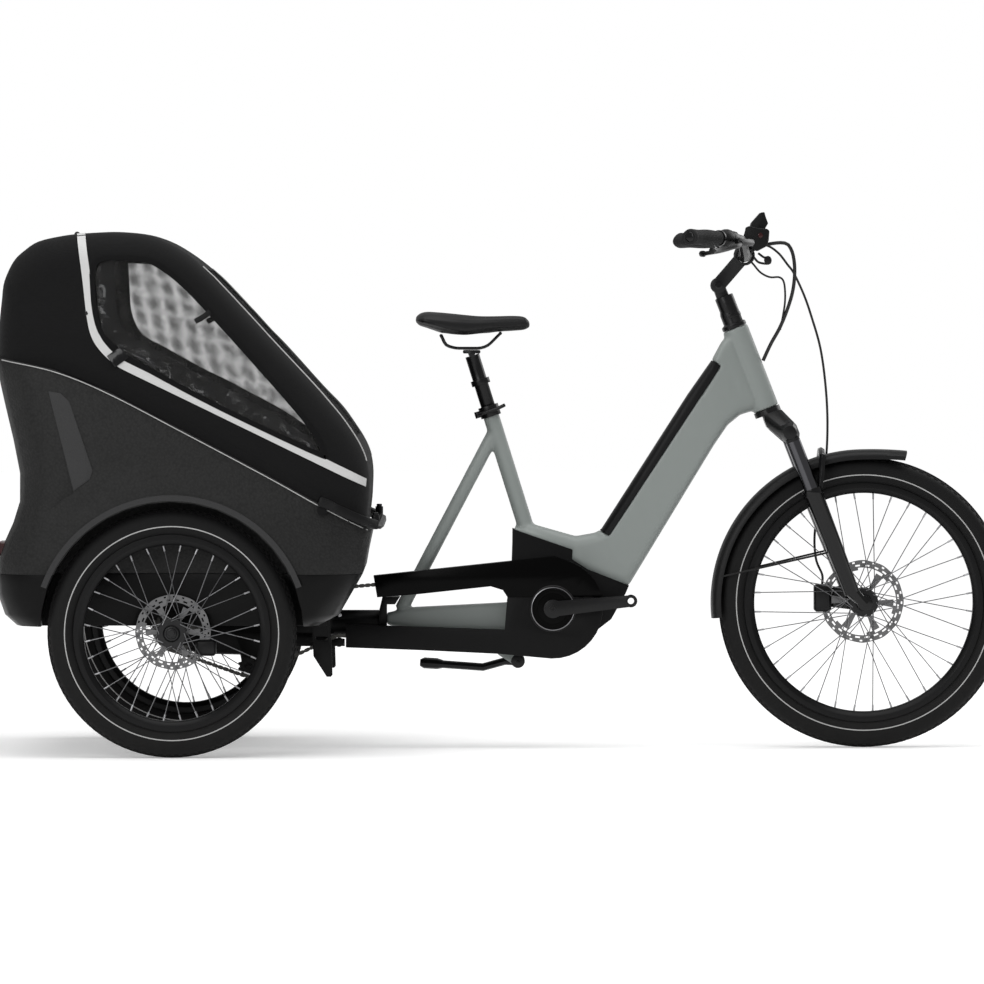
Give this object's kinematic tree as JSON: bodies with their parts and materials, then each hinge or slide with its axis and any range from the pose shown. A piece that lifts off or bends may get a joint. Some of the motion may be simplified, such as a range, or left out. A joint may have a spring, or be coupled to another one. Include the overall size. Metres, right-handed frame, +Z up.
{
  "type": "electric cargo tricycle",
  "caption": "Leaning electric cargo tricycle: step-through rider frame with a sprung front fork, joined to an upright two-wheeled rear with a moulded child box and a folding windowed hood.",
  "frame": {"origin": "on the floor, in the middle of the bounding box's base", "axes": "+X forward along the tricycle, +Y to its left, +Z up; the chain is on its right, towards -Y"},
  "size_m": [2.173, 0.9126, 1.1507],
  "materials": {
    "frame_paint": "satin",
    "black_steel": "satin",
    "black_metal": "anodised satin",
    "black_plastic": "matte",
    "cover_plastic": "satin",
    "gloss_plastic": "gloss",
    "battery_case": "satin",
    "box_foam": "grained",
    "tub_plastic": "satin",
    "bench_board": "matte",
    "cushion_fabric": "woven",
    "hood_fabric": "woven",
    "clear_sheet": "clear flexible sheet",
    "tyre_rubber": "matte",
    "rim_alloy": "anodised black",
    "hub_alloy": "anodised black",
    "chain_steel": "oiled",
    "red_lens": "gloss",
    "saddle_cover": "grained",
    "grip_rubber": "matte",
    "mudguard_plastic": "satin",
    "cable_sheath": "satin"
  },
  "bodies": {
    "rear_module": {"rear_frame": "black_steel", "cargo_tub": "tub_plastic", "cargo_shell": "box_foam", "bench": "bench_board", "bench_cushion": "cushion_fabric", "front_bar": "black_steel", "tail_light_right": "red_lens", "tail_light_left": "red_lens", "chain": "chain_steel", "tensioner_arm": "black_steel", "caliper_rear_right": "black_metal", "caliper_rear_left": "black_metal"},
    "pulley": {"tensioner_pulley": "black_plastic"},
    "sprocket": {"rear_sprocket": "chain_steel"},
    "wheel_rear_right": {"tyre_rear_right": "tyre_rubber", "rim_rear_right": "rim_alloy", "hub_rear_right": "hub_alloy"},
    "wheel_rear_left": {"tyre_rear_left": "tyre_rubber", "rim_rear_left": "rim_alloy", "hub_rear_left": "hub_alloy"},
    "hood": {"canopy": "hood_fabric", "window_right": "clear_sheet", "window_left": "clear_sheet", "window_front": "clear_sheet"},
    "rider_frame": {"main_frame": "frame_paint", "lean_yoke": "black_steel", "battery": "battery_case", "drive_unit": "black_metal", "motor_cover": "cover_plastic", "chain_guard": "gloss_plastic", "chain_case": "cover_plastic", "seat_collar": "black_metal"},
    "kickstand": {"kickstand_leg": "black_metal"},
    "seat": {"seatpost": "black_metal", "saddle_rails": "black_metal", "saddle": "saddle_cover"},
    "collar_lever": {"seat_lever": "black_metal"},
    "cranks": {"crank_right": "black_metal", "crank_left": "black_metal", "chainring": "chain_steel"},
    "steerer": {"fork_upper": "black_metal", "stem_base": "black_metal", "cable_bundle": "cable_sheath"},
    "bar": {"stem_arm": "black_metal", "handlebar": "black_metal", "grip_right": "grip_rubber", "grip_left": "grip_rubber", "brake_clamp_right": "black_metal", "brake_clamp_left": "black_metal", "display": "black_plastic"},
    "shifter": {"twist_shifter": "black_plastic"},
    "lever_right": {"brake_lever_right": "black_metal"},
    "lever_left": {"brake_lever_left": "black_metal"},
    "fork_lowers": {"fork_lower": "black_metal", "front_mudguard": "mudguard_plastic", "front_caliper": "black_metal", "front_brake_hose": "cable_sheath"},
    "wheel_front": {"tyre_front": "tyre_rubber", "rim_front": "rim_alloy", "hub_front": "hub_alloy"}
  },
  "joints": [
    {"name": "lean", "type": "hinge", "parent": "rear_module", "child": "rider_frame", "pos_m": [-0.2755, 0, 0.267], "axis": [1, 0, 0], "range_deg": [-20, 20], "deforming": ["chain"]},
    {"name": "hood_fold", "type": "hinge", "parent": "rear_module", "child": "hood", "pos_m": [-1.085, 0, 0.847], "axis": [0, -1, 0], "range_deg": [0, 75]},
    {"name": "rear_right_spin", "type": "hinge", "parent": "rear_module", "child": "wheel_rear_right", "pos_m": [-0.708, -0.395, 0.263], "axis": [0, 1, 0], "continuous": true},
    {"name": "rear_left_spin", "type": "hinge", "parent": "rear_module", "child": "wheel_rear_left", "pos_m": [-0.708, 0.395, 0.263], "axis": [0, 1, 0], "continuous": true},
    {"name": "crank_spin", "type": "hinge", "parent": "rider_frame", "child": "cranks", "pos_m": [0.1, 0, 0.302], "axis": [0, 1, 0], "continuous": true},
    {"name": "sprocket_spin", "type": "hinge", "parent": "rear_module", "child": "sprocket", "pos_m": [-0.708, -0.055, 0.263], "axis": [0, 1, 0], "continuous": true},
    {"name": "pulley_spin", "type": "hinge", "parent": "rear_module", "child": "pulley", "pos_m": [-0.556, -0.055, 0.1775], "axis": [0, 1, 0], "continuous": true},
    {"name": "kickstand_fold", "type": "hinge", "parent": "rider_frame", "child": "kickstand", "pos_m": [0.025, 0.0348, 0.183], "axis": [0, -1, 0], "range_deg": [0, 55]},
    {"name": "seatpost_slide", "type": "slide", "parent": "rider_frame", "child": "seat", "axis": [-0.2982, 0, 0.9545], "range_m": [-0.045, 0.06]},
    {"name": "collar_lever_swing", "type": "hinge", "parent": "rider_frame", "child": "collar_lever", "pos_m": [-0.06203, -0.0168, 0.71902], "axis": [0.2982, 0, -0.9545], "range_deg": [0, 150]},
    {"name": "steering", "type": "hinge", "parent": "rider_frame", "child": "steerer", "pos_m": [0.56251, 0, 0.73171], "axis": [-0.3633, 0, 0.9317], "range_deg": [-50, 50], "deforming": ["cable_bundle"]},
    {"name": "stem_angle", "type": "hinge", "parent": "steerer", "child": "bar", "pos_m": [0.45833, 0, 0.99891], "axis": [0, 1, 0], "range_deg": [-30, 30], "deforming": ["cable_bundle", "front_brake_hose"]},
    {"name": "shifter_twist", "type": "hinge", "parent": "bar", "child": "shifter", "pos_m": [0.47155, -0.2, 1.09775], "axis": [-0.5482, -0.8362, 0.0139], "range_deg": [-40, 40]},
    {"name": "brake_right_pull", "type": "hinge", "parent": "bar", "child": "lever_right", "pos_m": [0.49582, -0.22864, 1.0869], "axis": [0, 0, -1], "range_deg": [0, 12], "stiffness_Nm_per_rad": 2, "springref_deg": -8.59},
    {"name": "brake_left_pull", "type": "hinge", "parent": "bar", "child": "lever_left", "pos_m": [0.49582, 0.22864, 1.0869], "axis": [0, 0, 1], "range_deg": [0, 12], "stiffness_Nm_per_rad": 2, "springref_deg": -8.59},
    {"name": "fork_travel", "type": "slide", "parent": "steerer", "child": "fork_lowers", "axis": [-0.3633, 0, 0.9317], "range_m": [0, 0.08], "stiffness_N_per_m": 7000, "springref_m": -0.06, "deforming": ["front_brake_hose"]},
    {"name": "front_spin", "type": "hinge", "parent": "fork_lowers", "child": "wheel_front", "pos_m": [0.773, 0, 0.3135], "axis": [0, 1, 0], "continuous": true}
  ],
  "couplings": [
    {"joint": "sprocket_spin", "follows": "crank_spin", "ratio": 1.6154},
    {"joint": "pulley_spin", "follows": "crank_spin", "ratio": 3.8182}
  ]
}
